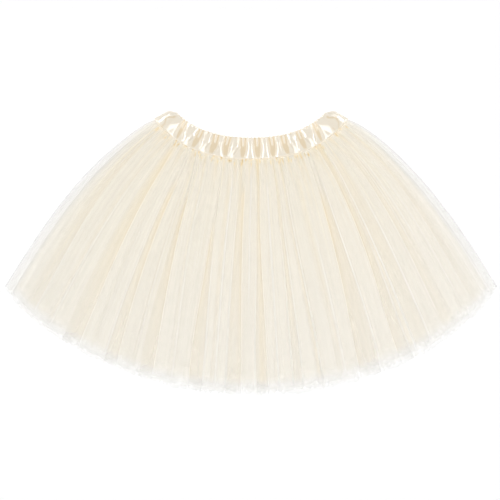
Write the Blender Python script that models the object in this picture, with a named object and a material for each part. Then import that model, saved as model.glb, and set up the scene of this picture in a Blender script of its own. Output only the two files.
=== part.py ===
"""Tulle skirt laid flat on a surface: a gathered satin waistband and three gathered tubes of tulle.

Blender 4.5, metres, +Z up. The skirt lies on its back panels with its front up: the waist is
towards +Y, the hem towards -Y, and the underside rests at z = 0. Each tube of cloth is pressed
flat, so that it has a front panel, a back panel and a rounded fold down each side, and the tubes
lie inside each other. A place on the cloth has two numbers: across, from -1 at the left side
fold to 1 at the right one, and down, from 0 at the seam under the waistband to 1 at the hem.
"""

import math
from collections import namedtuple

import bmesh
import bpy

# ---- Driving sizes ------------------------------------------------------------------------------

SEAM_MIDDLE_Y = 0.1457  # puts the whole outline's middle at y = 0

# An edge of the laid-out skirt starts level at its middle and turns up towards its side fold:
# by `turn` degrees in proportion to the way along it, and by `hook` degrees with its power.
Edge = namedtuple("Edge", "half_length turn hook power")
SEAM = Edge(half_length=0.163, turn=25.0, hook=26.5, power=2)
HEM = Edge(half_length=0.437, turn=44.0, hook=14.0, power=7)
SKIRT_LENGTH = 0.368  # from the seam to the outer hem, down the middle

# The gores run from the seam to the hem as curves. They leave the seam square to it, but flare
# out beside the side folds, and reach the hem at an angle that grows towards the sides.
SIDE_FLARE = 28.0
FLARE_POWER = 4
GORE_ANGLE_AT_HEM = 32.5
GORE_HANDLE = 0.264

WALL = 0.0010  # thickness of a tulle wall
WALL_STEP = 0.0017  # from the middle of one wall to the middle of the next one above it
SEAM_GAP = 0.0012  # share of the length left between the waistband and the tulle
RINGS_DOWN = (SEAM_GAP, 0.06, 0.18, 0.38, 0.66, 0.94)  # rings that all the tubes share
FOLD_SEGMENTS = 4
STEPS_ALONG_AN_EDGE = 40

# A pleat is a ridge that rises from its foot to a crest. Its height is a share of its half width.
LIFT_AT_WAIST = 0.46
LIFT_AT_HEM = 0.50

# Crests run down the skirt from the seam to the hem: middle of the pleat across the skirt, and
# half its width, in the same unit.
Pleat = namedtuple("Pleat", "middle half_width")
PLEATS = (
    Pleat(-0.930, 0.024),
    Pleat(-0.845, 0.026),
    Pleat(-0.755, 0.030),
    Pleat(-0.675, 0.030),
    Pleat(-0.600, 0.024),
    Pleat(-0.520, 0.032),
    Pleat(-0.450, 0.022),
    Pleat(-0.385, 0.032),
    Pleat(-0.290, 0.028),
    Pleat(-0.194, 0.034),
    Pleat(-0.125, 0.022),
    Pleat(-0.060, 0.032),
    Pleat(0.042, 0.036),
    Pleat(0.135, 0.026),
    Pleat(0.240, 0.032),
    Pleat(0.330, 0.024),
    Pleat(0.415, 0.034),
    Pleat(0.510, 0.030),
    Pleat(0.595, 0.026),
    Pleat(0.683, 0.032),
    Pleat(0.770, 0.026),
    Pleat(0.855, 0.028),
    Pleat(0.935, 0.022),
)

# Points across one pleat: place from its middle in half widths, and share of its height.
PLEAT_PROFILE = ((-1.0, 0.0), (-0.22, 1.0), (0.34, 0.92), (1.0, 0.0))

# One row for each tube of tulle, from the outside in. `reach` is how far out its side folds lie,
# `end` how far down its hem is, and `depth` how many walls lie above its front panel and below
# its back one. A wall's pleats grow with its place in the stack.
Tube = namedtuple("Tube", "name reach end depth")
TUBES = (
    Tube("tulle_outer", 1.0, 1.0, 0),
    Tube("tulle_middle", 0.965, 0.970, 1),
    Tube("tulle_inner", 0.930, 0.940, 2),
)
FOLD_ROOM = 0.033  # what a side fold takes at least of each panel, across
BACK_PLEAT_LEAST = 0.030  # the back panels only have the pleats that are at least this wide
FLAT_LONGEST = 0.045  # a flat stretch between two pleats gets a point each time it is this long
WALLS = 2 * len(TUBES)
PLEAT_SHARE_LOWEST = 0.25  # the lowest wall's pleat height, as a share of the highest wall's

HEM_RAGGED = 0.0022  # how far the raw edge wanders up and down

# The waistband is an elastic strip in a satin casing, so its wall is thicker than plain cloth.
BAND_HEIGHT = 0.033
BAND_WALL = 0.0035
BAND_HOLLOW = 0.0006  # left between its front and its back
BAND_PUFF_RATIO = 0.30  # a gather's height over its width
BAND_BACK_SEGMENTS = 26

# Furrows between the waistband's gathers, across the skirt.
BAND_FURROWS = (
    -0.930, -0.770, -0.585, -0.390, -0.265, -0.094, 0.058, 0.210, 0.335, 0.530, 0.730, 0.920,
)  # fmt: skip
GATHER_PROFILE = ((0.0, 0.0), (0.22, 0.75), (0.50, 1.0), (0.78, 0.72))

# Rows up the waistband's outer face: share of its height, and share of a gather's fullness.
BandRow = namedtuple("BandRow", "up fullness")
BAND_ROWS = (
    BandRow(0.0, 0.25),
    BandRow(0.14, 0.85),
    BandRow(0.45, 1.0),
    BandRow(0.80, 0.70),
    BandRow(1.0, 0.10),
)

SATIN_COLOUR = (0.90, 0.80, 0.62, 1.0)
TULLE_COLOUR = (0.92, 0.86, 0.72, 1.0)


# ---- The laid-out skirt, seen from above --------------------------------------------------------


def edge_point(edge, across):
    """Point and direction, in radians, of an edge at a place across, from the edge's middle."""
    share = abs(across)
    x = y = 0.0
    step = share / STEPS_ALONG_AN_EDGE
    for i in range(STEPS_ALONG_AN_EDGE):
        t = (i + 0.5) * step
        angle = math.radians(edge.turn * t + edge.hook * t**edge.power)
        x += math.cos(angle) * step * edge.half_length
        y += math.sin(angle) * step * edge.half_length
    direction = math.radians(edge.turn * share + edge.hook * share**edge.power)
    return math.copysign(x, across), y, math.copysign(direction, across)


def gore(across):
    """The four control points of the curve that the cloth follows from the seam to the hem."""
    seam_x, seam_y, seam_turn = edge_point(SEAM, across)
    hem_x, hem_y, _ = edge_point(HEM, across)
    start = (seam_x, SEAM_MIDDLE_Y + seam_y)
    end = (hem_x, SEAM_MIDDLE_Y - SKIRT_LENGTH + hem_y)
    handle = GORE_HANDLE * math.dist(start, end)
    flare = math.radians(SIDE_FLARE) * abs(across) ** FLARE_POWER
    leave = seam_turn + math.copysign(flare, across)
    arrive = math.radians(GORE_ANGLE_AT_HEM) * across
    return (
        start,
        (start[0] + handle * math.sin(leave), start[1] - handle * math.cos(leave)),
        (end[0] - handle * math.sin(arrive), end[1] + handle * math.cos(arrive)),
        end,
    )


def cloth_point(across, down):
    """(x, y) of a place on the laid-out tulle, on its gore's Bezier curve."""
    up = 1.0 - down
    weights = (up**3, 3 * down * up**2, 3 * down**2 * up, down**3)
    points = gore(across)
    return tuple(sum(w * p[i] for w, p in zip(weights, points)) for i in (0, 1))


def half_width(down):
    """Length of the laid-out skirt from its middle to a side fold, measured along its rows."""
    count = 24
    places = [cloth_point(i / count, down) for i in range(count + 1)]
    return sum(math.dist(a, b) for a, b in zip(places, places[1:]))


def band_point(across, up):
    """(x, y) of a place on the waistband, `up` metres above the seam and square to it."""
    x, y, turn = edge_point(SEAM, across)
    return x - up * math.sin(turn), SEAM_MIDDLE_Y + y + up * math.cos(turn)


# ---- Sections: closed loops of (sideways, height) -----------------------------------------------


def fold_arc(reach, low, high, side):
    """Points round a side fold between the back at height low and the front at height high."""
    radius = (high - low) / 2
    centre = reach - radius
    points = []
    for i in range(FOLD_SEGMENTS + 1):
        angle = math.pi * (0.5 - i / FOLD_SEGMENTS)
        points.append((side * (centre + radius * math.cos(angle)), low + radius * (1 + math.sin(angle))))
    return points if side > 0 else points[::-1]


def parallel(loop, distance):
    """The loop moved out by a distance, or in by a negative one, with mitred corners."""
    moved = []
    for before, here, after in zip(loop[-1:] + loop[:-1], loop, loop[1:] + loop[:1]):
        normals = []
        for a, b in ((before, here), (here, after)):
            length = math.dist(a, b)
            normals.append(((a[1] - b[1]) / length, (b[0] - a[0]) / length))
        (ax, az), (bx, bz) = normals
        scale = distance / (1 + ax * bx + az * bz)
        moved.append((here[0] + (ax + bx) * scale, here[1] + (az + bz) * scale))
    return moved


def panel(pleats, reach, height, tallness, width):
    """Points of one panel from left to right, at a height, with its pleats and some points along
    the flat stretches between them. Tallness is a pleat's height over half its width."""

    def along_the_flat(start, end):
        steps = 1 + int((end - start) / FLAT_LONGEST)
        return [((start + (end - start) * i / steps) * width, height) for i in range(1, steps)]

    points = []
    flat_from = -reach
    for pleat in pleats:
        points += along_the_flat(flat_from, pleat.middle - pleat.half_width)
        for place, rise in PLEAT_PROFILE:
            sideways = (pleat.middle + place * pleat.half_width) * width
            points.append((sideways, height + rise * tallness * pleat.half_width * width))
        flat_from = pleat.middle + pleat.half_width
    return points + along_the_flat(flat_from, reach)


def tulle_section(tube, down):
    """Middle of a tube's wall at one place down: front to the right, then back to the left."""
    width = half_width(down)
    lift = LIFT_AT_WAIST + (LIFT_AT_HEM - LIFT_AT_WAIST) * down
    low = WALL / 2 + tube.depth * WALL_STEP
    high = WALL / 2 + (WALLS - 1 - tube.depth) * WALL_STEP
    reach = tube.reach * width - WALL / 2

    def share(wall):
        return PLEAT_SHARE_LOWEST + (1 - PLEAT_SHARE_LOWEST) * wall / (WALLS - 1)

    def inside(limit):
        return [p for p in PLEATS if abs(p.middle) + p.half_width < limit - FOLD_ROOM]

    # A back panel carries the other tubes, so it only has the pleats that they all have.
    back_pleats = [p for p in inside(TUBES[-1].reach) if p.half_width >= BACK_PLEAT_LEAST]
    front_tallness = lift * share(WALLS - 1 - tube.depth)
    fold_at = tube.reach - FOLD_ROOM
    front = panel(inside(tube.reach), fold_at, high, front_tallness, width)
    back = panel(back_pleats, fold_at, low, lift * share(tube.depth), width)
    right_fold = fold_arc(reach, low, high, 1)
    left_fold = fold_arc(reach, low, high, -1)
    return front + right_fold + back[::-1] + left_fold


def band_section(row):
    """Outer face of the waistband at one row: the front's gathers, and a flat back below."""
    low, high = 0.0, 2 * BAND_WALL + BAND_HOLLOW
    reach = SEAM.half_length
    fold_at = 1.0 - (high - low) / 2 / reach
    edges = (-fold_at,) + BAND_FURROWS + (fold_at,)
    front = []
    for left, right in zip(edges, edges[1:]):
        puff = BAND_PUFF_RATIO * (right - left) * reach / 2 * row.fullness
        for place, rise in GATHER_PROFILE:
            front.append(((left + place * (right - left)) * reach, high + rise * puff))
    back = [
        (fold_at * reach * (1 - 2 * (i + 1) / BAND_BACK_SEGMENTS), low)
        for i in range(BAND_BACK_SEGMENTS - 1)
    ]
    right_fold = fold_arc(reach, low, high, 1)
    left_fold = fold_arc(reach, low, high, -1)
    return front + right_fold + back + left_fold[:-1]


# ---- Solids -------------------------------------------------------------------------------------


def material(name, colour, roughness, sheen):
    made = bpy.data.materials.new(name)
    made.use_nodes = True
    shader = made.node_tree.nodes["Principled BSDF"]
    shader.inputs["Base Color"].default_value = colour
    shader.inputs["Roughness"].default_value = roughness
    shader.inputs["Metallic"].default_value = 0.0
    shader.inputs["Sheen Weight"].default_value = sheen
    return made


def lofted_wall(name, outer_rings, inner_rings, finish):
    """A closed wall between two skins. Each skin is a row of closed rings of points, and the two
    are joined by a rim at each end. Every four-sided face is split along the same diagonal, so
    that walls that lie on each other keep their distance."""
    mesh = bmesh.new()
    outer = [[mesh.verts.new(p) for p in ring] for ring in outer_rings]
    inner = [[mesh.verts.new(p) for p in ring] for ring in inner_rings]
    bands = list(zip(outer, outer[1:])) + list(zip(inner, inner[1:]))
    bands += [(outer[0], inner[0]), (outer[-1], inner[-1])]
    for first, second in bands:
        for i in range(len(first)):
            j = (i + 1) % len(first)
            mesh.faces.new((first[i], first[j], second[j]))
            mesh.faces.new((first[i], second[j], second[i]))
    bmesh.ops.recalc_face_normals(mesh, faces=mesh.faces)
    data = bpy.data.meshes.new(name)
    mesh.to_mesh(data)
    mesh.free()
    data.shade_smooth()
    data.set_sharp_from_angle(angle=math.radians(50))
    data.materials.append(finish)
    made = bpy.data.objects.new(name, data)
    bpy.context.scene.collection.objects.link(made)
    return made


def hem_wander(i, across):
    """How far down the raw edge's i-th point strays, as a share of the skirt's length."""
    stray = 0.6 * math.sin(2.4 * i) + 0.4 * math.sin(5.3 * i + 1.0)
    return HEM_RAGGED / SKIRT_LENGTH * stray * (1 - across**8)


def tulle_tube(tube, finish):
    """One gathered tube of tulle: the same section at each ring, spread along the gores."""
    outer_rings, inner_rings = [], []
    for down in sorted({*RINGS_DOWN, tube.end}):
        width = half_width(down)
        middle = tulle_section(tube, down)
        for rings, distance in ((outer_rings, WALL / 2), (inner_rings, -WALL / 2)):
            ring = []
            for i, (sideways, height) in enumerate(parallel(middle, distance)):
                across = sideways / width
                wander = hem_wander(i, across) if down == tube.end else 0.0
                ring.append((*cloth_point(across, down + wander), height))
            rings.append(ring)
    return lofted_wall(tube.name, outer_rings, inner_rings, finish)


def waistband(finish):
    """The casing: gathers raised in the outer face, over a plain inner face."""

    def ring(section, up):
        width = SEAM.half_length
        return [
            (*band_point(sideways / width, up), height) for sideways, height in section
        ]

    outer_rings = [ring(band_section(row), row.up * BAND_HEIGHT) for row in BAND_ROWS]
    plain = parallel(band_section(BandRow(0.0, 0.0)), -BAND_WALL)
    inner_rings = [ring(plain, 0.0), ring(plain, BAND_HEIGHT)]
    return lofted_wall("waistband", outer_rings, inner_rings, finish)


def main():
    for old in list(bpy.data.objects):
        bpy.data.objects.remove(old, do_unlink=True)
    satin = material("satin", SATIN_COLOUR, roughness=0.32, sheen=0.2)
    tulle = material("tulle", TULLE_COLOUR, roughness=0.75, sheen=0.4)
    waistband(satin)
    for tube in TUBES:
        tulle_tube(tube, tulle)


main()
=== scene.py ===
"""A pull-on tutu skirt laid flat on its back with its front up and its waist towards +Y.

Three strips of tulle are pleated and gathered into tubes that lie one inside the next. Their tops
are sewn into the open lower edge of a satin casing, which the elastic inside it draws into puffs.
A place on the tulle is given by two numbers: across, from -1 at the left side fold to 1 at the
right one, and down, from 0 at the seam under the waistband to 1 at the hem. On the waistband, up
runs from 0 at that seam to 1 at the top edge. Lengths are in metres.
"""

import math

import bpy
import numpy as np
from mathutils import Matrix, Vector


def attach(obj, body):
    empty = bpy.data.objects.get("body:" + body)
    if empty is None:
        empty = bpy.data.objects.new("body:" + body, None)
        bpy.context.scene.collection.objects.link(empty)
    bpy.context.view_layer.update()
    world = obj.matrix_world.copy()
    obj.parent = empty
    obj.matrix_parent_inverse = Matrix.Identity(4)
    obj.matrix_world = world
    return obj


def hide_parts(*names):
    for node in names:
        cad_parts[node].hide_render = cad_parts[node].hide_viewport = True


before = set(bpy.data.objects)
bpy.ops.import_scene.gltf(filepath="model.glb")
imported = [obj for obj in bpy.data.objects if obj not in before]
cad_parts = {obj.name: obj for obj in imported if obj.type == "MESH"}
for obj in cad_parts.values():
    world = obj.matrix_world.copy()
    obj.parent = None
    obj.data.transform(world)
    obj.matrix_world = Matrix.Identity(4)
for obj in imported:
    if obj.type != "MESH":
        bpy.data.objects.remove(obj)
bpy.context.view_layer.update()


# ---- Tulle --------------------------------------------------------------------------------------
# Three strips of soft champagne tulle, 2.0 to 2.4 m long and 0.35 to 0.37 m deep, with a raw cut
# hem. Each is joined into a tube, laid in uneven pleats and drawn up along its top by a thread.

SEAM_MIDDLE_Y = 0.1457
SEAM_HALF = 0.163  # along the seam from its middle to its end
HEM_HALF = 0.437  # along the hem from its middle to its corner
SKIRT_LENGTH = 0.368
EDGE_STEPS = 400
SEAM_LEAN = math.radians(10.0)  # of the outermost threads, past square to the seam
HEM_LEAN = math.radians(32.5)  # of the outermost threads, from upright
HANDLE = 0.264  # length of a Bezier handle as a share of its thread's


def edge_table(half_length, turn, hook, power):
    """Way along, x, y and direction of one half of an edge that starts level at its middle. It
    turns by `turn` degrees times the way along it, plus `hook` degrees times a power of that."""
    along = np.linspace(0.0, 1.0, EDGE_STEPS + 1)
    angle = np.radians(turn * along + hook * along**power)
    step = half_length / EDGE_STEPS
    x = np.concatenate(([0.0], np.cumsum((np.cos(angle[1:]) + np.cos(angle[:-1])) / 2 * step)))
    y = np.concatenate(([0.0], np.cumsum((np.sin(angle[1:]) + np.sin(angle[:-1])) / 2 * step)))
    return along, x, y, angle


SEAM_EDGE = edge_table(SEAM_HALF, turn=25.0, hook=26.5, power=2)
HEM_EDGE = edge_table(HEM_HALF, turn=44.0, hook=14.0, power=7)


def edge_place(edge, across):
    """x, y and direction on an edge: read at the distance from its middle, mirrored on the left,
    and carried straight on past the edge's end."""
    along, x, y, angle = edge
    distance = np.abs(across)
    side = np.sign(across)
    last_step = math.hypot(x[-1] - x[-2], y[-1] - y[-2])
    past = np.clip(distance - 1.0, 0.0, None) * last_step * EDGE_STEPS
    return (
        side * (np.interp(distance, along, x) + past * math.cos(angle[-1])),
        np.interp(distance, along, y) + past * math.sin(angle[-1]),
        side * np.interp(distance, along, angle),
    )


def bell(values, middle, half):
    """1 at the middle and falling off on both sides of it: e to the minus square of how many
    halves a value lies away."""
    return np.exp(-(((values - middle) / half) ** 2))


def cloth_place(across, down):
    """x and y of places on the laid-out tulle. Each thread that runs down the skirt is a cubic
    Bezier curve, which leaves the seam square to it, leaning out by the fourth power of the place
    across, and reaches the hem leaning in proportion to the place across. Towards the sides the
    seam is a little longer, the upper handle longer and the lower one shorter. A seventh of the
    way down, every thread is 1.6 mm to the right."""
    side = across**8
    seam_x, seam_y, seam_turn = edge_place(SEAM_EDGE, across * (1 + 0.045 * side))
    hem_x, hem_y, _ = edge_place(HEM_EDGE, across)
    seam_y = seam_y + SEAM_MIDDLE_Y
    hem_y = hem_y + SEAM_MIDDLE_Y - SKIRT_LENGTH
    length = np.hypot(hem_x - seam_x, hem_y - seam_y)
    above, below = (HANDLE + 0.116 * side) * length, (HANDLE - 0.064 * side) * length
    leave = seam_turn + np.sign(across) * SEAM_LEAN * np.abs(across) ** 4
    arrive = HEM_LEAN * across
    up = 1.0 - down
    first, second, third, fourth = up**3, 3 * down * up**2, 3 * down**2 * up, down**3
    x = first * seam_x + second * (seam_x + above * np.sin(leave))
    x = x + third * (hem_x - below * np.sin(arrive)) + fourth * hem_x
    y = first * seam_y + second * (seam_y - above * np.cos(leave))
    y = y + third * (hem_y + below * np.cos(arrive)) + fourth * hem_y
    return x + 0.0016 * bell(down, 0.14, 0.13), y


# Lengths of 80 rows from the middle to the side fold, each added up over 60 steps.
WIDTH_DOWN = np.linspace(-0.02, 1.02, 80)
row_x, row_y = cloth_place(np.linspace(0.0, 1.0, 61)[None, :], WIDTH_DOWN[:, None])
WIDTH_TABLE = np.hypot(np.diff(row_x, axis=1), np.diff(row_y, axis=1)).sum(axis=1)


def half_width(down):
    """Length of a row of the skirt from its middle to its side fold, read from the table."""
    return np.interp(down, WIDTH_DOWN, WIDTH_TABLE)


def eased(values, start, end):
    """0 before start and 1 after end, with a smooth cubic step between them."""
    t = np.clip((values - start) / (end - start), 0.0, 1.0)
    return t * t * (3 - 2 * t)


# The pleats slant: a thread that meets the hem at the first place meets the seam at the second.
SLANT = np.array((
    (-1.0, -1.0), (-0.95, -0.965), (-0.855, -0.905), (-0.7825, -0.815), (-0.657, -0.730),
    (-0.548, -0.623), (-0.499, -0.577), (-0.432, -0.545), (-0.362, -0.505), (-0.295, -0.425),
    (-0.231, -0.300), (-0.180, -0.262), (-0.138, -0.185), (-0.097, -0.102), (-0.039, -0.067),
    (0.004, 0.020), (0.065, 0.070), (0.103, 0.123), (0.152, 0.200), (0.186, 0.229), (0.265, 0.285),
    (0.342, 0.397), (0.397, 0.520), (0.476, 0.571), (0.549, 0.624), (0.598, 0.665), (0.625, 0.690),
    (0.677, 0.755), (0.750, 0.790), (0.885, 0.925), (0.95, 0.962), (1.0, 1.0),
))
# How far a thread strays sideways from that: its place at the hem, then how much it is off at 0.3
# and at 0.6 of the way down.
SWAY = np.array((
    (-1.0, 0.0, 0.0), (-0.94, 0.0, 0.0), (-0.856, -0.015, -0.003), (-0.778, -0.010, -0.004),
    (-0.716, -0.007, -0.006), (-0.651, -0.009, -0.001), (-0.549, -0.007, -0.004),
    (-0.498, -0.020, -0.013), (-0.438, 0.0, 0.0), (-0.409, 0.008, 0.0), (-0.364, -0.006, 0.0),
    (-0.293, -0.012, -0.004), (-0.229, 0.014, 0.003), (-0.179, -0.012, -0.002),
    (-0.134, -0.002, 0.0), (-0.093, -0.007, -0.006), (-0.037, -0.005, 0.0), (0.018, 0.008, 0.0),
    (0.0635, -0.008, -0.003), (0.104, 0.005, 0.0), (0.156, 0.006, 0.001), (0.190, -0.002, 0.0),
    (0.262, -0.004, -0.001), (0.342, 0.002, 0.0), (0.400, 0.016, 0.005), (0.480, -0.002, 0.0),
    (0.554, 0.033, 0.013), (0.602, 0.022, 0.006), (0.6245, 0.011, 0.003), (0.685, 0.012, 0.004),
    (0.753, 0.024, 0.006), (0.850, 0.012, 0.003), (0.940, 0.0, 0.0), (1.0, 0.0, 0.0),
))
SLANT_FROM = np.linspace(-1.0, 1.0, 1601)
SLANT_TO = np.interp(SLANT_FROM, SLANT[:, 0], SLANT[:, 1])
for _ in range(3):  # a running mean over 17 places rounds the table's corners
    SLANT_TO[8:-8] = np.convolve(SLANT_TO, np.ones(17) / 17, mode="valid")

# Ridges that the pleats raise: place at the hem and half the width, across.
RIDGES = np.array((
    (-0.935, 0.022), (-0.878, 0.028), (-0.785, 0.026), (-0.690, 0.036), (-0.605, 0.024),
    (-0.525, 0.032), (-0.455, 0.022), (-0.388, 0.032), (-0.295, 0.026), (-0.209, 0.030),
    (-0.138, 0.022), (-0.068, 0.034), (0.042, 0.032), (0.105, 0.022), (0.170, 0.026),
    (0.257, 0.024), (0.335, 0.028), (0.436, 0.044), (0.512, 0.020), (0.574, 0.030), (0.653, 0.032),
    (0.720, 0.020), (0.777, 0.030), (0.850, 0.022), (0.912, 0.028),
))
RIDGE_LIFT = 0.18  # height of the top wall's ridges as a share of half their width

# Knife pleats of each front panel, from the outside in: left edge, right edge, which of the two
# lies on top (-1 or 1), and how far down it starts to close.
FRONT_PLEATS = (
    (
        (-0.716, -0.651, 1, 0.0), (-0.548, -0.499, 1, 0.17), (-0.412, -0.363, 1, 0.2),
        (-0.229, -0.18, -1, 0.3), (-0.094, -0.038, 1, 0.12), (0.02, 0.063, 1, -0.2),
        (0.4, 0.475, -1, 0.2), (0.553, 0.602, -1, -0.2),
    ),
    (
        (-0.9, -0.856, 1, 0.05), (-0.795, -0.7825, 1, 0.05), (-0.45, -0.432, -1, 0.05),
        (-0.155, -0.138, 1, 0.05), (0.152, 0.188, -1, 0.05), (0.245, 0.265, 1, 0.05),
        (0.322, 0.342, 1, 0.05), (0.628, 0.68, -1, 0.05), (0.75, 0.8, -1, 0.05),
        (0.886, 0.912, -1, 0.05),
    ),
    (
        (-0.845, -0.83, -1, 0.05), (-0.625, -0.6, -1, 0.05), (-0.315, -0.295, 1, 0.05),
        (-0.01, 0.006, 1, 0.05), (0.088, 0.104, 1, 0.05), (0.283, 0.3, -1, 0.05),
        (0.356, 0.374, -1, 0.05), (0.5, 0.516, 1, 0.05), (0.712, 0.73, 1, 0.05),
        (0.835, 0.855, -1, 0.05),
    ),
)

# Creases of the outer tube outside its pleats: place at the hem, half its width, where it starts
# and ends on the way down, and how much painted shade lies along it or, below 0, how much
# painted highlight.
STREAKS = (
    (-0.856, 0.003, 0.45, 1.0, -0.25), (-0.885, 0.022, 0.15, 0.9, 0.1),
    (-0.795, 0.01, 0.2, 0.9, 0.12), (-0.778, 0.003, 0.25, 1.0, -0.3),
    (-0.549, 0.003, 0.2, 1.0, -0.4), (-0.438, 0.004, 0.15, 0.9, -0.25),
    (-0.303, 0.008, 0.12, 0.5, 0.12), (-0.293, 0.003, 0.15, 1.0, -0.25),
    (-0.25, 0.006, 0.05, 0.5, 0.1), (-0.205, 0.018, 0.3, 0.6, -0.12),
    (-0.18, 0.003, 0.4, 1.0, -0.45), (-0.134, 0.0028, 0.08, 1.0, -0.55),
    (-0.144, 0.006, 0.12, 0.7, 0.12), (-0.094, 0.003, 0.2, 1.0, -0.45),
    (-0.062, 0.014, 0.15, 0.9, -0.12), (-0.011, 0.003, 0.02, 0.6, -0.4),
    (0.018, 0.003, 0.4, 1.0, -0.4), (0.042, 0.015, 0.5, 1.0, 0.32), (0.104, 0.003, 0.1, 1.0, -0.5),
    (0.114, 0.006, 0.15, 0.5, 0.18), (0.156, 0.003, 0.3, 1.0, -0.5),
    (0.171, 0.012, 0.08, 0.8, 0.22), (0.19, 0.003, 0.22, 1.0, -0.4), (0.251, 0.008, 0.3, 1.0, 0.28),
    (0.262, 0.003, 0.08, 1.0, -0.55), (0.341, 0.006, 0.1, 0.9, 0.25),
    (0.351, 0.003, 0.4, 1.0, -0.3), (0.364, 0.005, 0.03, 0.3, 0.3), (0.436, 0.02, 0.25, 1.0, -0.1),
    (0.48, 0.003, 0.15, 1.0, -0.45), (0.602, 0.0025, 0.5, 1.0, -0.35),
    (0.613, 0.007, 0.1, 1.0, 0.25), (0.6245, 0.003, 0.06, 1.0, -0.5), (0.668, 0.018, 0.3, 1.0, 0.1),
    (0.686, 0.003, 0.3, 1.0, -0.35), (0.704, 0.006, 0.15, 0.5, 0.15),
    (0.753, 0.003, 0.2, 0.9, -0.3), (0.766, 0.012, 0.25, 1.0, 0.14),
    (0.785, 0.003, 0.1, 0.6, -0.25), (0.812, 0.003, 0.1, 0.6, -0.25),
    (0.835, 0.008, 0.02, 0.35, 0.15), (0.85, 0.003, 0.3, 0.9, -0.25),
    (0.875, 0.006, 0.02, 0.3, 0.18), (0.9, 0.02, 0.1, 1.0, -0.12),
)

# One row a tube from the outside in: node, how far out its side folds lie, how far down it ends,
# and how much of its creases shows, as painted highlight and added thread.
TUBES = (
    ("tulle_outer", 1.000, 0.999, 1.0),
    ("tulle_middle", 0.965, 0.970, 0.6),
    ("tulle_inner", 0.938, 0.942, 0.4),
)
# The six walls from the bottom up, three backs and three fronts: their heights where they lie flat
# and where they are sewn into the casing, the share of their plies that a pressed pleat takes away,
# and how much painted shade it lays on their colour.
FLAT_HEIGHTS = (0.0005, 0.0022, 0.0039, 0.0056, 0.0073, 0.0090)
SEWN_HEIGHTS = (0.0011, 0.0018, 0.0025, 0.0051, 0.0058, 0.0065)
PRESSED_THIN = (0.50, 0.50, 0.50, 0.50, 0.20, 0.06)
PRESSED_SHADE = (0.0, 0.0, 0.0, 0.0, 0.27, 0.44)
TOP_WALL = 5
PLY = 0.00045  # between two thicknesses of a pleat
COVER = 0.26  # share of one thickness of tulle that is thread
SIDE_GAP = 0.010  # across, between a panel's last column and the side fold
FRONT_COLUMNS, BACK_COLUMNS, FOLD_COLUMNS = 1240, 900, 10
# How far down the rows of points lie, from inside the casing to the hem.
ROWS = np.array((
    -0.012, 0.0, 0.008, 0.018, 0.030, 0.044, 0.060, 0.078, 0.098, 0.12, 0.145, 0.175, 0.21,
    0.25, 0.30, 0.36, 0.43, 0.51, 0.59, 0.67, 0.74, 0.80, 0.85, 0.885, 0.91, 0.93, 0.945,
    0.957, 0.967, 0.976, 0.984, 0.991, 0.996, 1.0,
))
# Where the hem hangs lower than a level one: place across and how much.
HEM_HANG = np.array((
    (-1.0, 0.0040), (-0.85, 0.0050), (-0.72, 0.0010), (-0.40, 0.0010), (-0.30, 0.0032),
    (-0.08, 0.0032), (0.0, 0.0020), (0.10, 0.0035), (0.25, 0.0062), (0.36, 0.0066), (0.46, 0.0056),
    (0.60, 0.0080), (0.70, 0.0066), (0.92, 0.0054), (1.0, 0.0025),
))


def random_pleats(chance, reach):
    """Pleats for a panel that is never on top: spread evenly and then strayed."""
    count, margin, stray = 9, 0.09, 0.05
    middles = np.linspace(margin - reach, reach - margin, count) + chance.uniform(-stray, stray, count)
    halves = chance.uniform(0.010, 0.026, count)
    sides = chance.choice((-1, 1), count)
    return [(m - h, m + h, side, 0.0) for m, h, side in zip(middles, halves, sides)]


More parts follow.
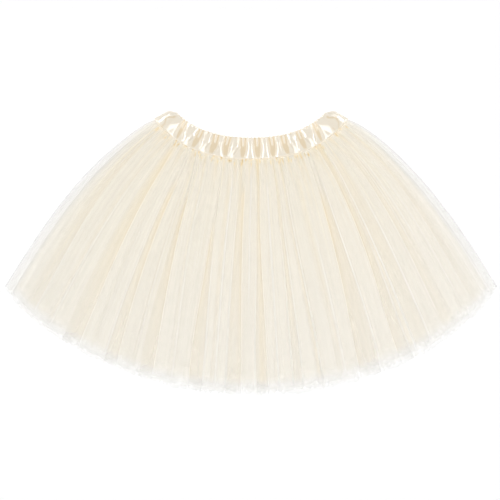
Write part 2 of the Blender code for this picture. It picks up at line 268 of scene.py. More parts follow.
def pleated_panel(pleats, reach, columns):
    """Columns of one panel from left to right along its cloth: place across at the hem, ply (1 on
    top, -1 beneath), nearness to a pleat's edge, how hard a pleat presses it, how far down that
    pleat starts, and way along the cloth. The cloth zigzags through each pleat, and the zigzag is
    rounded by a running mean over 1.25 mm. It is pressed hardest at the pleat's upper edge, a ramp
    that thins the plies there and makes the painted shade along the pleat deepest by that edge.
    The columns lie up to 3.5 times closer at the edges."""
    ramp, slack = 0.010, 0.0008  # how far beyond a pleat the cloth is raised, and pressed, across
    step, edge_half = 0.00025, 0.0009  # between two samples of the cloth, and half an edge's width
    # The crease each edge gets: painted highlight and added thread.
    upper_edge, lower_edge = 1.0, 0.2  # how much of each shows
    places, plies, edges = [-reach], [0.0], []
    for left, right, on_top, _ in pleats:
        places += [left - ramp, left, right, right, left, left, right, right + ramp]
        plies += [0.0, on_top, on_top, 0.0, 0.0, -on_top, -on_top, 0.0]
        # The cloth turns back halfway between two of these points that share a place.
        edges.append((len(places) - 5.5, upper_edge if on_top > 0 else lower_edge))
        edges.append((len(places) - 3.5, upper_edge if on_top < 0 else lower_edge))
    places.append(reach)
    plies.append(0.0)
    places, plies = np.array(places), np.array(plies)
    lengths = np.hypot(np.diff(places) * HEM_HALF, np.diff(plies) * PLY)
    way = np.concatenate(([0.0], np.cumsum(lengths)))
    fine = np.linspace(0.0, way[-1], int(way[-1] / step))
    fine_place, fine_ply = np.interp(fine, way, places), np.interp(fine, way, plies)
    nearness, pressed, begins = np.zeros_like(fine), np.zeros_like(fine), np.zeros_like(fine)
    for edge, shown in edges:
        edge_way = np.interp(edge, np.arange(len(way)), way)
        nearness = np.maximum(nearness, shown * bell(fine, edge_way, edge_half))
    for left, right, on_top, start in pleats:
        share = (fine_place - left) / (right - left)
        share = share if on_top > 0 else 1 - share
        inside = (fine_place > left - slack) & (fine_place < right + slack)
        pressed = np.maximum(pressed, inside * (0.35 + 0.65 * np.clip(share, 0, 1)))
        begins[(fine_place > left - ramp) & (fine_place < right + ramp)] = start
    for values in (pressed, fine_place, fine_ply):
        values[2:-2] = np.convolve(values, np.ones(5) / 5, mode="valid")
    crowd = np.cumsum(1.0 + 2.5 * nearness)
    picked = np.interp(np.linspace(crowd[0], crowd[-1], columns), crowd, fine)
    values = (fine_place, fine_ply, nearness, pressed, begins)
    return [np.interp(picked, fine, v) for v in values] + [picked]


def raw_edge(way, chance, ragged):
    """How much shorter the cut edge is than a straight one 2 mm lower: teeth 1 to 4 mm wide, every
    other one a notch, over slow waves, with a deeper tear here and there."""
    teeth, tears, deepest, lower = 2000, 70, 0.0052, 0.0020
    steps = np.cumsum(chance.uniform(0.0012, 0.0044, teeth))
    depths = chance.uniform(0.0, 1.0, teeth) ** 1.5 * deepest
    depths[::2] *= 0.3
    torn = chance.choice(teeth, tears, replace=False)
    depths[torn] += chance.uniform(0.002, 0.006, tears)
    waves = sum(
        size * np.sin(way / length * math.tau + chance.uniform(0, math.tau))
        for size, length in ((0.0012, 0.11), (0.0009, 0.047), (0.0007, 0.019))
    )
    return ragged * np.interp(way, steps, depths) - lower + waves


def gather_height(tops, down, chance):
    """Small gathers under the seam: raised cosines, spread evenly along it and then strayed, which
    die away down the skirt, each over its own length."""
    count, reach, stray, highest = 62, 0.985, 0.008, 0.0008
    middles = np.linspace(-reach, reach, count) + chance.uniform(-stray, stray, count)
    halves = chance.uniform(0.010, 0.019, count)
    peaks = chance.uniform(0.25, 1.0, count) * highest
    lengths = chance.uniform(0.06, 0.30, count)
    height = np.zeros(down.shape)
    for middle, half, peak, length in zip(middles, halves, peaks, lengths):
        bump = np.cos(np.clip((tops - middle) / half, -1, 1) * math.pi / 2) ** 2
        height += bump[None, :] * peak * bell(down, 0.0, length)
    return height * eased(down, -0.004, 0.05)


# Places at the seam where deep gathers bunch the cloth.
DEEP_GATHERS = (
    -0.87, -0.81, -0.665, -0.56, -0.44, -0.34, -0.26, -0.154, -0.10, -0.017, 0.052, 0.128, 0.20,
    0.267, 0.345, 0.43, 0.47, 0.60, 0.66, 0.78, 0.86,
)
# Fine gathers that reach further down: place at the seam, and length as a share of down.
FINE_GATHERS = (
    (-0.94, 0.45), (-0.915, 0.15), (-0.853, 0.25), (-0.813, 0.12), (-0.715, 0.30), (-0.625, 0.08),
    (-0.540, 0.40), (-0.487, 0.30), (-0.433, 0.55), (-0.340, 0.10), (-0.260, 0.15), (-0.147, 0.12),
    (-0.093, 0.25), (-0.020, 0.14), (0.053, 0.80), (0.127, 0.10), (0.205, 0.35), (0.267, 0.30),
    (0.347, 0.22), (0.433, 0.22), (0.480, 0.45), (0.573, 0.12), (0.613, 0.25), (0.653, 0.45),
    (0.733, 0.25), (0.790, 0.10), (0.860, 0.40), (0.927, 0.30),
)


def panel_shape(wall, hem_place, ply, end, shorter):
    """Places across and down and heights of one wall's points, as rows down the skirt by columns
    across, and each column's place at the seam.

    Across runs from the hem's place to the seam's by the power 1.5 of the way up, plus two cubics
    in down that are 0 at the seam and the hem and let the thread stray between, less the width of
    the side folds. Height is the wall's own height, plus the ridges (raised cosines, taller for
    higher walls), the gathers and the ply. The lowest rows are pulled up by the raw edge's depth."""
    fold_width, gather_seed = 0.0042, 5
    pulled_up = shorter[None, :] / SKIRT_LENGTH * eased(ROWS, 0.88, 1.0)[:, None] ** 1.5
    down = ROWS[:, None] * end - pulled_up
    tops = np.interp(hem_place, SLANT_FROM, SLANT_TO)
    way_up = np.clip(1.0 - down, 0.0, None) ** 1.5
    across = hem_place[None, :] + (tops - hem_place)[None, :] * way_up
    for column, here, other in ((1, 0.3, 0.6), (2, 0.6, 0.3)):
        sway = np.interp(hem_place, SWAY[:, 0], SWAY[:, column])
        cubic = down * (down - other) * (down - 1) / (here * (here - other) * (here - 1))
        across = across + sway[None, :] * np.where(down > 0, cubic, 0.0)
    width = half_width(down)
    drawn_in = fold_width / width - fold_width / HEM_HALF
    across = across - np.sign(hem_place) * np.abs(hem_place) ** 24 * drawn_in
    ridges = np.zeros(hem_place.shape)
    for middle, half in RIDGES:
        inside = np.clip((hem_place - middle) / half, -1, 1)
        ridges += half * np.cos(inside * math.pi / 2) ** 2
    share = 0.25 + 0.75 * wall / TOP_WALL
    sewn = 1 - eased(down, 0.0, 0.05)
    height = FLAT_HEIGHTS[wall] + (SEWN_HEIGHTS[wall] - FLAT_HEIGHTS[wall]) * sewn
    height = height + RIDGE_LIFT * share * ridges[None, :] * width * eased(down, 0.0, 0.09)
    height = height + gather_height(tops, down, np.random.default_rng(gather_seed)) * share
    height = height + ply[None, :] * PLY * eased(down, -0.01, 0.03)
    return across, down, height, tops


def panel_look(wall, hem_place, tops, down, nearness, pressed, begins, chance):
    """How one wall's cloth looks at those points: cover, the share of it that is thread, crease, how
    much painted highlight and added thread lie along a pleat's edge, and how much painted shade
    deepens its colour.

    Each ply leaves the same share open of what the one above lets through. The number of plies is
    how far the row is drawn up from the hem's width, most uneven near the seam. It falls a little
    towards the right and high up both sides, and is higher down the right side. It is lower along
    pressed pleats, where three plies lie on each other, and higher in the gathers. Painted shade
    deepens the colour most in pressed pleats, just below where they start, and in the gathers. The
    top wall adds small tucks under the seam, with thread and dark painted shadow, fine gathers,
    with painted shade, and the creases outside its pleats, with painted shade along some and
    painted highlight along others."""
    gather_half, fine_half, tuck_half, tuck_long = 0.017, 0.0048, 0.0065, 0.009
    tucks, tuck_seed = 60, 23
    coarse_at, close_at = np.linspace(-1, 1, 90), np.linspace(-1, 1, 330)
    coarse = np.interp(tops, coarse_at, chance.uniform(-0.4, 0.4, len(coarse_at)))[None, :]
    close = np.interp(tops, close_at, chance.uniform(-0.5, 0.5, len(close_at)))[None, :]
    near_seam = np.exp(-np.clip(down, 0, 1) / 0.35)
    near_hem = eased(down, 0.945, 0.985)
    lower, fading = eased(down, 0.30, 0.85), eased(down, 0.4, 0.9)
    sides = eased(np.abs(hem_place), 0.945, 0.985)[None, :]
    bunched = np.zeros(down.shape)
    for i, place in enumerate(DEEP_GATHERS):
        length = 0.10 * (0.7 + 0.6 * ((i * 0.37) % 1.0))
        spot = bell(tops, place, gather_half)[None, :] * bell(down, 0.0, length)
        bunched = np.maximum(bunched, spot)
    drawn_up = HEM_HALF / half_width(down)
    plies = drawn_up * (1 + coarse * (0.08 + 0.42 * near_seam) + close * (0.05 + 0.45 * near_seam))
    plies = plies * np.exp(-0.12 * hem_place)[None, :]
    plies = plies * (1 + 0.22 * eased(hem_place, 0.945, 0.985))[None, :]
    plies = plies * (1 - 0.45 * sides * eased(down, 0.02, 0.25) * (1 - eased(down, 0.0, 0.8)))
    plies = plies * (1 + 0.02 * lower)
    opened = eased(down, begins[None, :] - 0.03, begins[None, :] + 0.08)
    thinner = PRESSED_THIN[wall] + 0.45 * (1 - opened) + 0.22 * lower * (1 - near_hem) + 0.72 * near_hem
    plies = plies * (1 - thinner * pressed[None, :]) + 0.6 * bunched
    # Painted shade: deepest just below where a pleat starts, weaker down the skirt, gone at the hem.
    head = 1 + 0.35 * bell(down, begins[None, :] + 0.12, 0.10)
    pleated = pressed[None, :] * opened * head * (1 - 0.50 * fading) * (1 - near_hem)
    painted_shade = 0.35 * bunched + PRESSED_SHADE[wall] * pleated
    crease = nearness[None, :] * opened * (1 - 0.30 * fading)
    if wall == TOP_WALL:
        tuck_chance = np.random.default_rng(tuck_seed)
        tuck_places = tuck_chance.uniform(-0.96, 0.96, tucks)
        # Each tuck adds thread and dark painted shadow just under the seam.
        for place, level in zip(tuck_places, tuck_chance.uniform(0.0, 0.035, tucks)):
            spot = bell(tops, place, tuck_half)[None, :] * bell(down, level, tuck_long)
            painted_shade = np.maximum(painted_shade, 2.0 * spot * (spot > 0.15))
            plies = plies + 3.0 * spot
        # Each fine gather adds thread and a line of painted shade.
        for place, length in FINE_GATHERS:
            line = bell(tops, place, fine_half)[None, :] * bell(down, 0.0, length)
            painted_shade = np.maximum(painted_shade, 0.45 * line)
            plies = plies + 0.5 * line
        # A dark streak adds thread and painted shade; a pale one, below 0, adds painted highlight as
        # crease.
        for place, half, first, last, dark in STREAKS:
            line = bell(hem_place, place, half)[None, :] * eased(down, first - 0.05, first + 0.10)
            line = line * (1 - eased(down, last - 0.10, last + 0.03) if last < 1 else 1 - near_hem)
            painted_shade = np.maximum(painted_shade, dark * line)
            plies = plies + max(dark, 0.0) * line
            crease = np.maximum(crease, -dark * line)
    return 1 - (1 - COVER) ** plies, crease, painted_shade


def side_fold(before, after, way_from, round_fold):
    """Half a turn from the last column of one panel to the first of the next. The cloth gets a painted
    highlight and added thread where it turns."""
    a, b = [v[:, -1:] for v in before], [v[:, :1] for v in after]
    turn = np.linspace(0.0, 1.0, FOLD_COLUMNS + 2)[None, 1:-1]
    radius = np.abs(a[2] - b[2]) / 2
    bulge = radius / half_width(a[1]) * np.sin(turn * math.pi)
    across = a[0] + (b[0] - a[0]) * turn + np.sign(a[0]) * bulge
    down, height, cover, crease, painted_shade = (x + (y - x) * turn for x, y in zip(a[1:6], b[1:6]))
    height = (a[2] + b[2]) / 2 + (a[2] - b[2]) / 2 * np.cos(turn * math.pi)
    # Painted highlight, with added thread, along the turn of the fold.
    crease = 0.6 * np.sin(turn * math.pi) + 0 * crease
    return across, down, height, cover, crease, painted_shade, way_from + round_fold * turn + 0 * a[0]


def tulle_surface(reach, end, depth, seed):
    """One tube of tulle as a single open surface: its front panel to the right, round the right
    side fold, its back panel to the left, and round the left side fold back to the start. The
    back's hem is 3.5 mm higher in the middle."""
    chance = np.random.default_rng(seed)
    front_wall, back_wall = TOP_WALL - depth, depth
    panels = []
    for wall, pleats, columns in (
        (front_wall, FRONT_PLEATS[depth], FRONT_COLUMNS),
        (back_wall, random_pleats(chance, reach), BACK_COLUMNS),
    ):
        panels.append((wall, *pleated_panel(pleats, reach - SIDE_GAP, columns)))
    lengths = [p[-1][-1] for p in panels]
    round_fold = math.pi * (FLAT_HEIGHTS[front_wall] - FLAT_HEIGHTS[back_wall]) / 2
    starts = (0.0, lengths[0] + round_fold)
    grids = []
    for start, (wall, hem_place, ply, nearness, pressed, begins, way) in zip(starts, panels):
        ragged = 1.6 if depth else 1.0
        shorter = raw_edge(way + start, np.random.default_rng(seed + 100), ragged)
        shorter = shorter - np.interp(hem_place, HEM_HANG[:, 0], HEM_HANG[:, 1])
        if wall == back_wall:
            shorter = shorter + 0.0035 * (1 - np.abs(hem_place / reach) ** 6)
        across, down, height, tops = panel_shape(wall, hem_place, ply, end, shorter)
        look = panel_look(wall, hem_place, tops, down, nearness, pressed, begins, chance)
        grids.append((across, down, height, *look, np.broadcast_to(way + start, down.shape)))
    front, back = grids
    back = tuple(v[:, ::-1] for v in back[:-1]) + (back[-1],)
    right = side_fold(front, back, lengths[0], round_fold)
    left = side_fold(back, front, sum(lengths) + round_fold, round_fold)
    parts = [np.concatenate(v, axis=1) for v in zip(front, right, back, left)]
    across, down, height, cover, crease, painted_shade, way = parts
    return (*cloth_place(across, down), height, way, across, down, cover, crease, painted_shade)


def closed_row_faces(rows, columns):
    """Four corners of each face of a grid whose last column joins its first."""
    first = np.arange(rows - 1)[:, None] * columns
    here = np.arange(columns)[None, :]
    after = (here + 1) % columns
    corners = (first + here, first + after, first + columns + after, first + columns + here)
    return np.stack([c + 0 * first for c in corners], axis=-1).reshape(-1, 4)


def grid_mesh(name, points, faces, uv, values):
    """A mesh object from arrays: points, faces of four corners, a UV place for each corner of each
    face, and a named number for each point."""
    mesh = bpy.data.meshes.new(name)
    mesh.vertices.add(len(points))
    mesh.vertices.foreach_set("co", points.astype(np.float32).ravel())
    mesh.loops.add(faces.size)
    mesh.loops.foreach_set("vertex_index", faces.astype(np.int32).ravel())
    mesh.polygons.add(len(faces))
    mesh.polygons.foreach_set("loop_start", np.arange(0, faces.size, 4, dtype=np.int32))
    mesh.polygons.foreach_set("loop_total", np.full(len(faces), 4, dtype=np.int32))
    mesh.update(calc_edges=True)
    layer = mesh.uv_layers.new(name="cut")
    layer.data.foreach_set("uv", uv.astype(np.float32).ravel())
    for key, numbers in values.items():
        attribute = mesh.attributes.new(key, "FLOAT", "POINT")
        attribute.data.foreach_set("value", numbers.astype(np.float32).ravel())
    mesh.validate()
    mesh.shade_smooth()
    made = bpy.data.objects.new(name, mesh)
    bpy.context.scene.collection.objects.link(made)
    return made


class Socket:
    """A value in a material's node tree, on which Python's operators add Math nodes."""

    def __init__(self, tree, socket):
        self.tree, self.socket = tree, socket

    def node(self, kind, settings=None, output=0, **inputs):
        """Any node: its settings first, and then its inputs' values or links. An input is named by
        its label, or as in_0, in_1 by its number."""
        made = self.tree.nodes.new(kind)
        for key, value in (settings or {}).items():
            setattr(made, key, value)
        for key, value in inputs.items():
            key = int(key[3:]) if key.startswith("in_") else key.replace("_", " ")
            if isinstance(value, Socket):
                self.tree.links.new(value.socket, made.inputs[key])
            else:
                made.inputs[key].default_value = value
        return Socket(self.tree, made.outputs[output])

    def math(self, operation, *others):
        values = {f"in_{i}": v for i, v in enumerate((self, *others))}
        return self.node("ShaderNodeMath", {"operation": operation}, **values)

    def __add__(self, other):
        return self.math("ADD", other)

    def __mul__(self, other):
        return self.math("MULTIPLY", other)

    def __sub__(self, other):
        return self.math("SUBTRACT", other)

    def __rsub__(self, other):
        return self.node("ShaderNodeMath", {"operation": "SUBTRACT"}, in_0=other, in_1=self)

    __radd__, __rmul__ = __add__, __mul__

    def cos(self):
        return self.math("COSINE")

    def step(self, start, end):
        """0 at start, 1 at end and a smooth step between them."""
        settings = {"interpolation_type": "SMOOTHSTEP"}
        return self.node("ShaderNodeMapRange", settings, Value=self, From_Min=start, From_Max=end)

    def mix(self, first, second):
        """Colour between two others, by this value."""
        values = {"in_0": self, "in_6": first, "in_7": second}
        return self.node("ShaderNodeMix", {"data_type": "RGBA"}, output=2, **values)

    def attribute(self, name):
        """A number that the mesh stores at each point."""
        return self.node("ShaderNodeAttribute", {"attribute_name": name}, output=2)

    def feed(self, shader, key):
        """Link this value to one of the shader's inputs."""
        self.tree.links.new(self.socket, shader.inputs[key])


def new_finish(name, **constants):
    """A material with its Principled shader, whose fixed inputs are set by name."""
    made = bpy.data.materials.new(name)
    made.use_nodes = True
    shader = made.node_tree.nodes["Principled BSDF"]
    for key, value in constants.items():
        shader.inputs[key.replace("_", " ")].default_value = value
    return made, shader, Socket(made.node_tree, None)


def tulle_finish():
    """Champagne net: six-sided holes from three waves at 60 degrees, on the cut's own UV in metres.
    Alpha is the thread's share of the cloth, uneven along its threads and in patches. Painted shade
    deepens the colour in pleats, gathers and dark streaks, and a second step of painted shadow
    darkens the tucks. It is greyer where a single ply lies alone, at the hem and the sides, as
    painted shade, and paler along a pleat's edge, as painted highlight."""
    made, shader, start = new_finish("tulle", Roughness=0.75, Specular_IOR_Level=0.25)
    hole = 0.0016  # from one to the next
    pitch, slanted = math.tau / hole, 0.866  # the cosine of 30 degrees
    thread_scale, patch_scale = (260.0, 0.7, 1.0), 55.0
    place = start.node("ShaderNodeUVMap", {"uv_map": "cut"})
    x = place.node("ShaderNodeSeparateXYZ", Vector=place)
    y = Socket(x.tree, x.socket.node.outputs[1])
    holes = (x * pitch).cos() + (x * (pitch / 2) + y * (pitch * slanted)).cos()
    holes = holes + (x * (pitch / 2) - y * (pitch * slanted)).cos()
    threads = holes.step(0.6, -0.9)
    multiply, flat_noise = {"operation": "MULTIPLY"}, {"noise_dimensions": "2D"}
    stretched = place.node("ShaderNodeVectorMath", multiply, in_0=place, in_1=thread_scale)
    streaks = place.node("ShaderNodeTexNoise", flat_noise, Vector=stretched, Scale=1.0, Detail=2.0)
    patches = place.node("ShaderNodeTexNoise", flat_noise, Vector=place, Scale=patch_scale, Detail=2.0)
    cover, crease, painted_shade = (start.attribute(name) for name in ("cover", "crease", "painted_shade"))
    alone, gathered = start.attribute("alone"), start.attribute("gathered")
    net = threads * 0.75 + 0.62
    uneven = (streaks - 0.5) * 0.03 + (patches - 0.5) * 0.05 + 1.0
    alpha = cover * net * uneven + crease * 0.45
    loose = gathered.mix((0.714, 0.688, 0.629, 1.0), (0.750, 0.716, 0.641, 1.0))
    # Painted shade: a deeper champagne in pleats, gathers and dark streaks.
    base = (painted_shade + (streaks - 0.5) * 0.3).mix(loose, (0.797, 0.678, 0.456, 1.0))
    # Painted shadow: dark brown in the tucks under the seam.
    base = painted_shade.step(1.0, 1.7).mix(base, (0.600, 0.445, 0.235, 1.0))
    # Painted shade: greyer where a single ply lies alone, at the hem and the sides.
    base = alone.mix(base, (0.641, 0.628, 0.595, 1.0))
    # Painted highlight: pale bluish white along pleat edges, side folds and pale streaks.
    crease.mix(base, (0.790, 0.795, 0.847, 1.0)).feed(shader, "Base Color")
    alpha.feed(shader, "Alpha")
    return made


TULLE = tulle_finish()
LAST_GAP = 0.0005  # along the cloth, from a tube's last column to its first
FIRST_SEED = 11  # the outer tube's
for depth, (node, reach, end, crease_shows) in enumerate(TUBES):
    surface = tulle_surface(reach, end, depth, FIRST_SEED + depth)
    x, y, height, way, across, down, cover, crease, painted_shade = surface
    rows, columns = x.shape
    faces = closed_row_faces(rows, columns)
    round_way = way.max() + LAST_GAP
    uv = np.stack((way, down * SKIRT_LENGTH), axis=-1).reshape(-1, 2)[faces]
    last_column = (faces[:, 0] % columns) == columns - 1
    uv[last_column, 1:3, 0] += round_way
    points = np.stack((x, y, height), axis=-1).reshape(-1, 3)
    out = np.abs(across) / reach
    # Where a single ply lies alone, at the hem and the sides, the finish paints a greyer shade.
    at_side = eased(np.abs(across), 0.945, 0.975) * eased(down, 0.02, 0.25)
    alone = np.maximum(eased(down, 0.925, 0.97), at_side) * (1 - depth / 2)
    # The cloth fades out towards its raw edge and its side folds, and sooner in the inner tubes.
    for reached, share, first, last in (
        (down / end, 0.30 if depth else 0.0, 0.94, 0.985),
        (down / end, 0.35, 0.982, 1.0),
        (out, 0.30, 0.982, 1.0),
        (out, 0.30, 0.993, 1.0),
    ):
        cover = cover * (1 - share * eased(reached, first, last))
    values = {"cover": cover, "crease": crease * crease_shows, "painted_shade": painted_shade, "alone": alone}
    values["gathered"] = 1 - eased(down, 0.0, 0.95)
    layer = grid_mesh(node + "_cloth", points, faces[:, ::-1], uv[:, ::-1], values)
    layer.data.materials.append(TULLE)
    layer.visible_shadow = False
    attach(layer, "root")
    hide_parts(node)


# ---- Waistband ----------------------------------------------------------------------------------
# A strip of champagne satin, folded in two over a 30 mm elastic, joined into a ring and sewn over
# the tops of the tulle. The elastic draws it into flat furrows with full puffs between them.

BAND_HEIGHT = 0.033
FRONT_OUTER, FRONT_INNER = 0.0076, 0.0041  # heights of the front half's two faces over the elastic
BACK_OUTER, BACK_THICK = 0.0003, 0.0032  # height of the back half's outer face and its thickness
SIDE_FOLD = 0.0030  # how far a side fold stands out from the elastic's end
# One row a furrow: its place at the seam, half way up and at the top edge, and half its width.
FURROWS = np.array((
    (-0.915, -0.925, -0.905, 0.012), (-0.758, -0.770, -0.790, 0.012),
    (-0.583, -0.570, -0.567, 0.022), (-0.397, -0.380, -0.383, 0.027),
    (-0.255, -0.260, -0.245, 0.025), (-0.085, -0.080, -0.085, 0.023), (0.065, 0.064, 0.061, 0.026),
    (0.213, 0.220, 0.214, 0.025), (0.363, 0.348, 0.350, 0.023), (0.540, 0.530, 0.528, 0.020),
    (0.710, 0.725, 0.748, 0.012), (0.880, 0.885, 0.875, 0.012),
))
LEVELS = (0.0, 0.5, 1.0)
LEANING = 4  # the puff whose foot leans to the left, counted from 0 at the left end
# Dents in the fuller puffs: place across, how far up the band, and depth.
DENTS = (
    (-0.677, 0.74, 0.0012), (-0.490, 0.68, 0.0012),
    (-0.172, 0.70, 0.0009), (0.455, 0.74, 0.0011), (0.642, 0.72, 0.0012),
)
# The crease inside each end and the ridge of the roll past it: how far up the band, and the places
# across on the left and on the right. The crease is only painted shade, the roll is raised.
END_CREASES = np.array((
    (0.0, -0.942, 0.915), (0.20, -0.940, 0.957), (0.45, -0.982, 0.977), (0.55, -0.965, 0.955),
    (0.70, -0.925, 0.918), (1.0, -0.900, 0.900),
))
END_RIDGES = np.array(
    ((0.0, -0.984, 0.992), (0.40, -0.984, 0.992), (0.70, -0.968, 0.972), (1.0, -0.930, 0.935))
)
# The flat slope of each end puff, which faces the hem: its lowest place across and up, its middle
# across and half its width, how long it is, and how deep the dent in it is.
END_SLOPES = (
    (-0.822, 0.00, -0.853, 0.049, 0.0185, 0.0003),
    (0.780, -0.06, 0.812, 0.058, 0.0220, 0.0007),
)


def band_place(across, up):
    """x and y on the waistband, `up` metres above the seam and square to it."""
    x, y, turn = edge_place(SEAM_EDGE, across)
    return x - up * np.sin(turn), SEAM_MIDDLE_Y + y + up * np.cos(turn)


def band_reach(up):
    """How far out the casing's fold lies: nearly straight, then rounded off towards the top."""
    return 1.052 - 0.034 * up - 0.09 * np.clip((up - 0.6) / 0.4, 0.0, 1.1) ** 2.8


def end_slope(across, up, slope, ridges):
    """Height of the flat slope of an end puff. It climbs from its lowest place in proportion to the
    way up the band and out, levels off over 1.2 mm at its length and has one shallow oval dent. Its
    inner flank is steep. Its outer one is gentle and stops at the ridge of the roll."""
    low_place, low_up, middle, reach, length, dent = slope
    up_share, out_share, climb, levelling = 0.0253, 0.1048, 0.31, 0.0012
    side = np.sign(low_place)
    way = up_share * (up - low_up) + out_share * (across - low_place) * side
    beyond = way - length
    level_off = beyond + np.sqrt(beyond**2 + levelling**2)
    height = climb * way - climb / 2 * level_off + 0.0003
    height = np.clip(height, 0, None) * eased(up, -0.07, 0.03)
    outwards = (across - middle) * side
    inner = 1 - np.clip(-outwards / reach, 0, 1) ** 6
    outer = 1 - np.clip((outwards - 0.046 - 0.06 * (up - 0.35)) / 0.26, 0.0, 1.0)
    ridge = np.interp(up, END_RIDGES[:, 0], ridges)
    outer = outer * (1 - eased((across - ridge) * side, -0.010, 0.0))
    away = ((across - middle) / 0.021) ** 2 + ((way - 0.50 * length) / 0.0040) ** 2
    return inner * outer * (height - dent * np.exp(-away))


def puff_dome(inside, up, wide, lean):
    """Shape of one puff between two furrows and how far it has swollen at each level, both as
    shares of its height. `inside` runs from -1 at one furrow to 1 at the other, and `wide` is 0 for
    a narrow puff and 1 for a wide one. A narrow one is a blunt arch, blunter towards the top, and
    full from the seam on. A wide one is a flame that opens upwards on a low arch, and swells over
    the lower third of the band."""
    blunt = 1.85 - 0.15 * eased(up, 0.0, 0.4) + 1.1 * eased(up, 0.45, 0.95)
    flame = 0.45 + 0.55 * eased(up, 0.10, 0.60)
    wide_dome = 0.35 * (1 - inside**2) + 0.65 * np.clip(1 - ((inside - lean) / flame) ** 2, 0, None)
    dome = wide * wide_dome + (1 - wide) * (1 - np.abs(inside) ** blunt)
    rise = 0.15 + 0.85 * np.clip(up / 0.38, 0.0, 1.0)
    swell = wide * (rise - 0.12 * bell(up, 0.38, 0.10)) * eased(up, -0.05, -0.01)
    swell = swell + (1 - wide) * (0.92 * eased(up, -0.05, 0.0) + 0.10 * up)
    return dome, swell


def puff_height(across, up):
    """Height of the satin over the elastic, in metres, and from 0 to 1 how far it stands off it.

    A puff is three quarters as tall as half its width, up to 5.6 mm, or 6.2 mm if it is wide. It
    sinks again over the upper half of the band, most in its middle, and puckers at the top edge.
    Fuller ones have an oval dent, wide ones fine upright wrinkles, and an end one is low, with a
    flat slope on it. In the top of each inner furrow sits a narrow gather. Past each end puff the
    fold stands up as a roll, 2.8 mm high at its ridge, which falls off outwards, steeply at first.
    The lower edge counts as raised, and the puckers and the creases by the rolls count as less
    raised, so that painted shade darkens them."""
    wide_tall, narrow_tall, end_tall = 0.0062, 0.0056, 0.22
    roll_tall, steep_fall, gentle_fall = 0.0028, 0.0014, 0.0008
    steep_long, gentle_long, crease_half = 0.0032, 0.0040, 0.0017
    lines = [np.interp(up, LEVELS, row[:3]) + 0 * across for row in FURROWS]
    widths = [row[3] * np.interp(up, (0.0, 0.35, 1.0), (0.55, 1.0, 1.25)) for row in FURROWS]
    height = np.zeros(np.broadcast(across, up).shape)
    raised, fold_shade = np.zeros(height.shape), np.zeros(height.shape)
    last = len(FURROWS) - 2
    for i in range(last + 1):
        left, right = lines[i] + widths[i], lines[i + 1] - widths[i + 1]
        middle, half = (left + right) / 2, (right - left) / 2
        inside = np.clip((across - middle) / half, -1, 1)
        size = (FURROWS[i + 1, 1] - FURROWS[i, 1] - FURROWS[i, 3] - FURROWS[i + 1, 3]) / 2
        wide = float(eased(size, 0.055, 0.0655))
        tall = wide * wide_tall + (1 - wide) * min(0.75 * size * SEAM_HALF, narrow_tall)
        if i in (0, last):
            end = 0 if i == 0 else 1
            height += end_slope(across, up, END_SLOPES[end], END_RIDGES[:, end + 1])
            outer_half = inside < 0 if i == 0 else inside > 0
            dome = end_tall * (1 - np.where(outer_half, 0.0, inside) ** 4)
            swell, wide = eased(up, -0.07, 0.06), 0.0
        else:
            lean = -0.40 * (1 - eased(up, 0.1, 0.6)) if i == LEANING else 0.0
            dome, swell = puff_dome(inside, up, wide, lean)
        sink = eased(up, 0.62, 1.05) * (0.45 - 0.20 * inside**2)
        rings = np.hypot(inside, (up - 0.98) / 0.55)
        wrinkles = 0.018 * np.sin(rings * 16 + 1.7 * i) * eased(up, 0.25, 0.50) * wide
        pucker = 0.22 * bell(inside, 0.0, 0.14) * eased(up, 0.86, 0.98)
        height += tall * dome * (swell * (1 - sink) + wrinkles - pucker)
        flank = 0.10 + 0.25 * eased(up, 0.0, 0.4)
        raised = np.maximum(raised, eased((1 - inside**2) / flank, 0.0, 1.0))
        # Painted shade in the puckers of the top edge.
        fold_shade = np.maximum(fold_shade, 5.5 * pucker)
    raised = np.maximum(raised, 0.7 * (1 - eased(up, 0.03, 0.10)))
    for place, level, depth in DENTS:
        away = ((across - place) / 0.030) ** 2 + ((up - level) / 0.16) ** 2
        height -= depth * np.exp(-away)
    for line in lines[1:-1]:
        inside = np.clip((across - line) / (0.0095 + 0.0060 * eased(up, 0.55, 1.0)), -1, 1)
        gather = (1 - inside**4) * eased(up, 0.54, 0.60)
        height += gather * (0.0003 + 0.0034 * np.clip(up - 0.55, 0, 0.38))
        raised = np.maximum(raised, gather)
    for column, side in ((1, -1.0), (2, 1.0)):
        ridge = np.interp(up, END_RIDGES[:, 0], END_RIDGES[:, column])
        past = (across - ridge) * side * SEAM_HALF
        steep = steep_fall * np.clip(past / steep_long, 0, 1)
        gentle = gentle_fall * np.clip((past - steep_long) / gentle_long, 0, 1)
        height += eased(past, -0.0016, 0.0) * (roll_tall - steep - gentle)
        crease = np.interp(up, END_CREASES[:, 0], END_CREASES[:, column])
        past = (across - crease) * side * SEAM_HALF
        beside = eased(across * side - 0.87 + 0.06 * eased(up, 0.2, 0.4), 0.0, 0.02)
        raised = np.maximum(raised, 0.88 * beside + 0.12 * eased(past, 0.0, 0.002))
        # Painted shade along the crease inside each end, weaker low down and gone near the top.
        dark = bell(past, 0.0, crease_half) * (0.35 + 0.65 * eased(up, 0.30, 0.42))
        fold_shade = np.maximum(fold_shade, 2.1 * dark * (1 - eased(up, 0.72, 0.86)))
    return height, np.clip(raised - fold_shade, 0, 1)


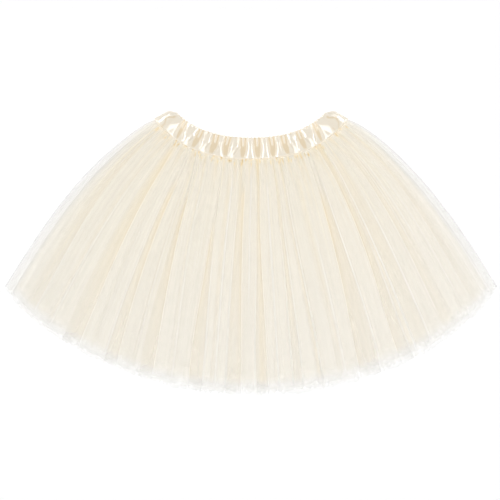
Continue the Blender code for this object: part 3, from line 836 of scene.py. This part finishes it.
def waistband_surface():
    """The casing as one open surface: up its outer face, over its top edge and down its inner
    face, carried round the ring through both side folds. The lowest rows turn down onto the tulle
    in small scallops between the stitches, and the top edge is slightly ruffled.

    `over` goes from 0 on the outer face to 1 on the inner one by half a turn at the top edge, and
    `angle` through half a turn from the front to the back at each side fold."""
    fold_height, top = 0.0038, 0.95  # of a side fold's middle, and level where the top edge starts
    scallop, ruffle = 0.021, 0.043  # across, from one to the next
    front, back = np.linspace(-1.0, 1.0, 1000), np.linspace(1.0, -1.0, 240)
    turn = np.linspace(0, math.pi, 18)[1:-1]
    parts = (front, turn, back, turn)
    around = np.concatenate(parts)[None, :]
    kinds = np.repeat(("front", "right", "back", "left"), [len(p) for p in parts])
    outer_ups = np.concatenate((np.linspace(-0.030, 0.045, 8), np.linspace(0.06, top, 42)))
    up = np.concatenate((outer_ups, np.full(5, top), np.linspace(top, 0.0, 6)))[:, None]
    over = np.concatenate((0 * outer_ups, np.linspace(0, 1, 7)[1:-1], np.ones(6)))[:, None]
    half_turn = (1 - np.cos(over * math.pi)) / 2
    across, height = np.zeros((2, len(up), len(kinds)))
    limit = band_reach(up) - SIDE_FOLD / SEAM_HALF
    for kind in ("front", "back"):
        place = around[:, kinds == kind]
        across[:, kinds == kind] = place + np.sign(place) * np.abs(place) ** 12 * (limit - 1.0)
    for kind, side in (("right", 1.0), ("left", -1.0)):
        bulge = SIDE_FOLD * (1 - 0.6 * over) * np.sin(around[:, kinds == kind]) / SEAM_HALF
        across[:, kinds == kind] = side * (limit + bulge)
    above, raised = puff_height(across, up)
    bead = -0.0012 * (1 - eased(up, -0.034, -0.006))
    outer = FRONT_OUTER + (above + bead)[:, kinds == "front"]
    height[:, kinds == "front"] = outer + (FRONT_INNER - outer) * half_turn
    height[:, kinds == "back"] = BACK_OUTER + BACK_THICK * half_turn
    for kind in ("right", "left"):
        angle = around[:, kinds == kind]
        angle = angle if kind == "right" else math.pi - angle
        above_middle, below_middle = FRONT_OUTER - fold_height + bead, fold_height - BACK_OUTER
        span = np.where(angle < math.pi / 2, above_middle, below_middle)
        span = span * (1 - over) + 0.0004 * over
        height[:, kinds == kind] = fold_height + span * np.cos(angle)
    lift = 0.05 * np.sin(over * math.pi)
    drop = 0.012 * np.abs(np.sin(across * math.pi / scallop)) * (1 - eased(up, -0.030, 0.02))
    wave = 0.014 * np.cos(across * math.tau / ruffle + 2 * np.sin(across * 9)) * eased(up, 0.8, top)
    wave = wave * (1 - 0.8 * eased(np.abs(across), 0.80, 0.92))
    x, y = band_place(across, (up + lift - drop + wave) * BAND_HEIGHT)
    return x, y, height, across, up + 0 * across, raised


def satin_finish():
    """Champagne satin: smooth, with a soft gloss, and a fine slub along its threads. Painted shade
    makes it deeper in colour down in the furrows, and takes it a seventh of the way to a still deeper
    one, a little less glossy too, on the furrow floors, the puckers of the top edge and the creases
    by the end rolls."""
    made, shader, start = new_finish(
        "satin", Roughness=0.30, Specular_IOR_Level=0.9, Coat_Weight=1.0, Coat_Roughness=0.18, Coat_IOR=2.1
    )
    place = start.node("ShaderNodeTexCoord", output=3)
    raised = start.attribute("raised")
    cloudy = place.node("ShaderNodeTexNoise", Vector=place, Scale=120.0, Detail=3.0)
    full = cloudy.mix((0.905, 0.815, 0.662, 1.0), (0.938, 0.868, 0.740, 1.0))
    # Painted shade: the deeper furrow colour where the satin lies low.
    colour = raised.mix((0.840, 0.708, 0.503, 1.0), full)
    # Painted shade: a seventh of the way to deep brown on furrow floors, puckers and end creases.
    raised.step(0.3, -1.0).mix(colour, (0.62, 0.47, 0.26, 1.0)).feed(shader, "Base Color")
    weave = place.node("ShaderNodeTexNoise", Vector=place, Scale=900.0, Detail=2.0)
    place.node("ShaderNodeBump", Height=weave, Strength=0.06, Distance=0.0004).feed(shader, "Normal")
    raised.step(-0.8, 0.2).feed(shader, "Coat Weight")
    return made


x, y, height, across, up, raised = waistband_surface()
rows, columns = x.shape
faces = closed_row_faces(rows, columns)
points = np.stack((x, y, height), axis=-1).reshape(-1, 3)
uv = np.stack((across, up), axis=-1).reshape(-1, 2)[faces]
band = grid_mesh("waistband_casing", points, faces, uv, {"raised": raised})
band.data.materials.append(satin_finish())
band.visible_shadow = False
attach(band, "root")
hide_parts("waistband")


# ---- Surface, light and camera ------------------------------------------------------------------
# A plain white matt surface, large soft lights round it and a camera straight above.

bpy.ops.mesh.primitive_plane_add(size=6.0, location=(0.0, 0.0, 0.0))
floor = bpy.context.object
floor.name = "surface"
floor_finish, floor_shader, _ = new_finish("white_surface", Roughness=1.0, Specular_IOR_Level=0.0)
floor_shader.inputs["Base Color"].default_value = (0.96, 0.96, 0.96, 1.0)
floor.data.materials.append(floor_finish)


def softbox(name, place, width, depth, power):
    """An oblong area light that faces the skirt's middle."""
    light = bpy.data.lights.new(name, "AREA")
    light.shape, light.size, light.size_y, light.energy = "RECTANGLE", width, depth, power
    made = bpy.data.objects.new(name, light)
    made.location = place
    made.rotation_euler = (-Vector(place)).to_track_quat("-Z", "Y").to_euler()
    bpy.context.scene.collection.objects.link(made)


softbox("key", (0.0, -4.4, 5.0), 7.4, 3.5, 181.0)
softbox("left", (-4.7, -0.1, 3.0), 4.0, 1.5, 88.0)
softbox("right", (4.7, -0.1, 3.0), 4.0, 1.5, 88.0)
softbox("back_left", (-3.0, 3.9, 3.4), 2.2, 2.2, 65.0)
softbox("back_right", (3.0, 3.9, 3.4), 2.2, 2.2, 65.0)
world = bpy.data.worlds.new("studio")
bpy.context.scene.world = world
world.use_nodes = True
world.node_tree.nodes["Background"].inputs["Color"].default_value = (1.0, 1.0, 1.0, 1.0)
world.node_tree.nodes["Background"].inputs["Strength"].default_value = 0.316

lens = bpy.data.cameras.new("camera")
lens.sensor_width = 36.0
lens.lens = 87.0
camera = bpy.data.objects.new("camera", lens)
camera.location = (-0.0019, 0.0018, 1.908)
bpy.context.scene.collection.objects.link(camera)
bpy.context.scene.camera = camera
bpy.context.scene.view_settings.view_transform = "Standard"
bpy.context.scene.cycles.transparent_max_bounces = 64  # the plies of net that a ray may cross
